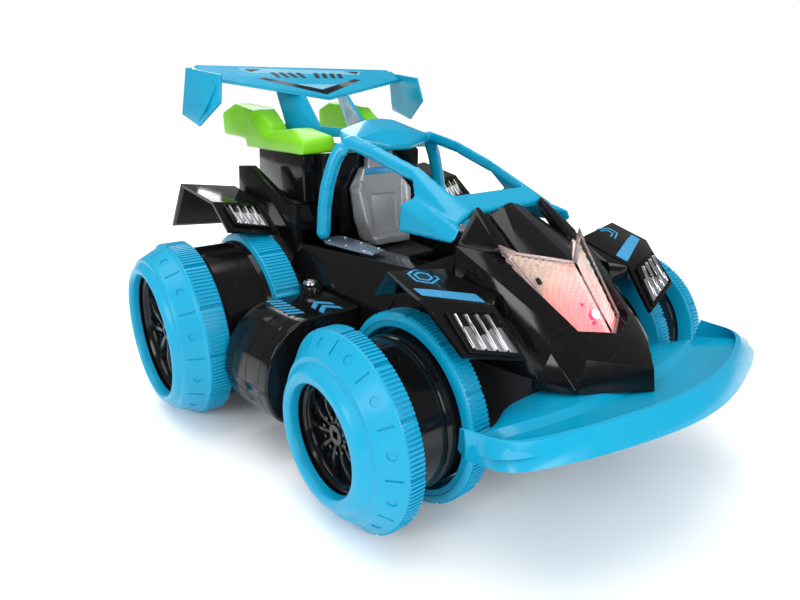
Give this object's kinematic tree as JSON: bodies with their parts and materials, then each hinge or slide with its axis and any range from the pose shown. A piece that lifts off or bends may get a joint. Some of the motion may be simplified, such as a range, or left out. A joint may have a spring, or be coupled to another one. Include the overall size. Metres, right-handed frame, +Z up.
{
  "type": "remote control car",
  "caption": "Toy stunt car with wide extending wheels, roll cage, rear wing, scoop bumper and clear nose lamp.",
  "frame": {"origin": "on the ground, under the middle of the car's length and width", "axes": "+X to the front, +Y to the car's left, +Z up"},
  "size_m": [0.321, 0.267, 0.184],
  "materials": {
    "wheel_blue": "smooth moulded cyan-blue plastic",
    "body_blue": "polished cyan-blue plastic",
    "gloss_black": "polished black plastic",
    "matte_black": "plain black plastic",
    "lime_green": "bright lime plastic with fine sparkle",
    "seat_silver": "silver-grey plastic",
    "chrome_trim": "vacuum-plated chrome",
    "plate_metal": "satin grey-blue plate",
    "clear_lens": "clear polycarbonate",
    "reflector": "quilted plated reflector",
    "steel": "plain steel",
    "brass": "plain brass",
    "gear_nylon": "natural nylon",
    "board_green": "solder-masked board",
    "battery_wrap": "shrink wrap"
  },
  "bodies": {
    "front_right_inner_wheel": {"front_inner_ring_right": "wheel_blue", "front_sleeve_right": "gloss_black"},
    "front_right_outer_wheel": {"front_tyre_right": "wheel_blue", "front_hub_right": "gloss_black"},
    "front_left_inner_wheel": {"front_inner_ring_left": "wheel_blue", "front_sleeve_left": "gloss_black"},
    "front_left_outer_wheel": {"front_tyre_left": "wheel_blue", "front_hub_left": "gloss_black"},
    "rear_right_inner_wheel": {"rear_inner_ring_right": "wheel_blue", "rear_sleeve_right": "gloss_black", "rear_axle_right": "steel", "axle_gear_right": "gear_nylon"},
    "rear_right_outer_wheel": {"rear_tyre_right": "wheel_blue", "rear_hub_right": "gloss_black"},
    "rear_left_inner_wheel": {"rear_inner_ring_left": "wheel_blue", "rear_sleeve_left": "gloss_black", "rear_axle_left": "steel", "axle_gear_left": "gear_nylon"},
    "rear_left_outer_wheel": {"rear_tyre_left": "wheel_blue", "rear_hub_left": "gloss_black"},
    "compound_right": {"compound_gear_right": "gear_nylon"},
    "pinion_right": {"motor_pinion_right": "brass"},
    "compound_left": {"compound_gear_left": "gear_nylon"},
    "pinion_left": {"motor_pinion_left": "brass"},
    "switch_knob": {"power_switch_knob": "matte_black"},
    "chassis": {"chassis_tray": "matte_black", "battery_door": "matte_black", "battery_door_screw": "steel", "battery_pack": "battery_wrap", "circuit_board": "board_green", "front_axle": "steel", "body_tub": "gloss_black", "nose_shell": "gloss_black", "nose_lens": "clear_lens", "lamp_reflector": "reflector", "front_bumper": "body_blue", "seat": "seat_silver", "seat_frame": "matte_black", "engine_cover": "gloss_black", "roll_cage": "body_blue", "rear_wing": "body_blue", "rear_bush_right": "brass", "drive_motor_right": "steel", "side_pod_right": "gloss_black", "sill_plate_right": "plate_metal", "front_fender_right": "gloss_black", "front_grille_right": "chrome_trim", "rear_fender_right": "gloss_black", "rear_grille_right": "chrome_trim", "exhaust_pod_right": "lime_green", "rear_bush_left": "brass", "drive_motor_left": "steel", "side_pod_left": "gloss_black", "sill_plate_left": "plate_metal", "front_fender_left": "gloss_black", "front_grille_left": "chrome_trim", "rear_fender_left": "gloss_black", "rear_grille_left": "chrome_trim", "exhaust_pod_left": "lime_green"}
  },
  "joints": [
    {"name": "front_right_spin", "type": "hinge", "parent": "chassis", "child": "front_right_inner_wheel", "pos_m": [0.066, 0, 0.042], "axis": [0, 1, 0], "continuous": true},
    {"name": "front_right_extend", "type": "slide", "parent": "front_right_inner_wheel", "child": "front_right_outer_wheel", "axis": [0, 1, 0], "range_m": [0, 0.012]},
    {"name": "front_left_spin", "type": "hinge", "parent": "chassis", "child": "front_left_inner_wheel", "pos_m": [0.066, 0, 0.042], "axis": [0, 1, 0], "continuous": true},
    {"name": "front_left_extend", "type": "slide", "parent": "front_left_inner_wheel", "child": "front_left_outer_wheel", "axis": [0, -1, 0], "range_m": [0, 0.012]},
    {"name": "rear_right_spin", "type": "hinge", "parent": "chassis", "child": "rear_right_inner_wheel", "pos_m": [-0.0705, 0, 0.0469], "axis": [0, 1, 0], "continuous": true},
    {"name": "rear_right_extend", "type": "slide", "parent": "rear_right_inner_wheel", "child": "rear_right_outer_wheel", "axis": [0, 1, 0], "range_m": [0, 0.012]},
    {"name": "rear_left_spin", "type": "hinge", "parent": "chassis", "child": "rear_left_inner_wheel", "pos_m": [-0.0705, 0, 0.0469], "axis": [0, 1, 0], "continuous": true},
    {"name": "rear_left_extend", "type": "slide", "parent": "rear_left_inner_wheel", "child": "rear_left_outer_wheel", "axis": [0, -1, 0], "range_m": [0, 0.012]},
    {"name": "compound_right_spin", "type": "hinge", "parent": "chassis", "child": "compound_right", "pos_m": [-0.0515, 0, 0.0469], "axis": [0, 1, 0], "continuous": true},
    {"name": "pinion_right_spin", "type": "hinge", "parent": "chassis", "child": "pinion_right", "pos_m": [-0.0355, 0, 0.0469], "axis": [0, 1, 0], "continuous": true},
    {"name": "compound_left_spin", "type": "hinge", "parent": "chassis", "child": "compound_left", "pos_m": [-0.0515, 0, 0.0469], "axis": [0, 1, 0], "continuous": true},
    {"name": "pinion_left_spin", "type": "hinge", "parent": "chassis", "child": "pinion_left", "pos_m": [-0.0355, 0, 0.0469], "axis": [0, 1, 0], "continuous": true},
    {"name": "power_switch_slide", "type": "slide", "parent": "chassis", "child": "switch_knob", "axis": [1, 0, 0], "range_m": [0, 0.005]}
  ],
  "couplings": [
    {"joint": "compound_right_spin", "follows": "rear_right_spin", "ratio": -2.8},
    {"joint": "pinion_right_spin", "follows": "rear_right_spin", "ratio": 8.4},
    {"joint": "compound_left_spin", "follows": "rear_left_spin", "ratio": -2.8},
    {"joint": "pinion_left_spin", "follows": "rear_left_spin", "ratio": 8.4}
  ]
}
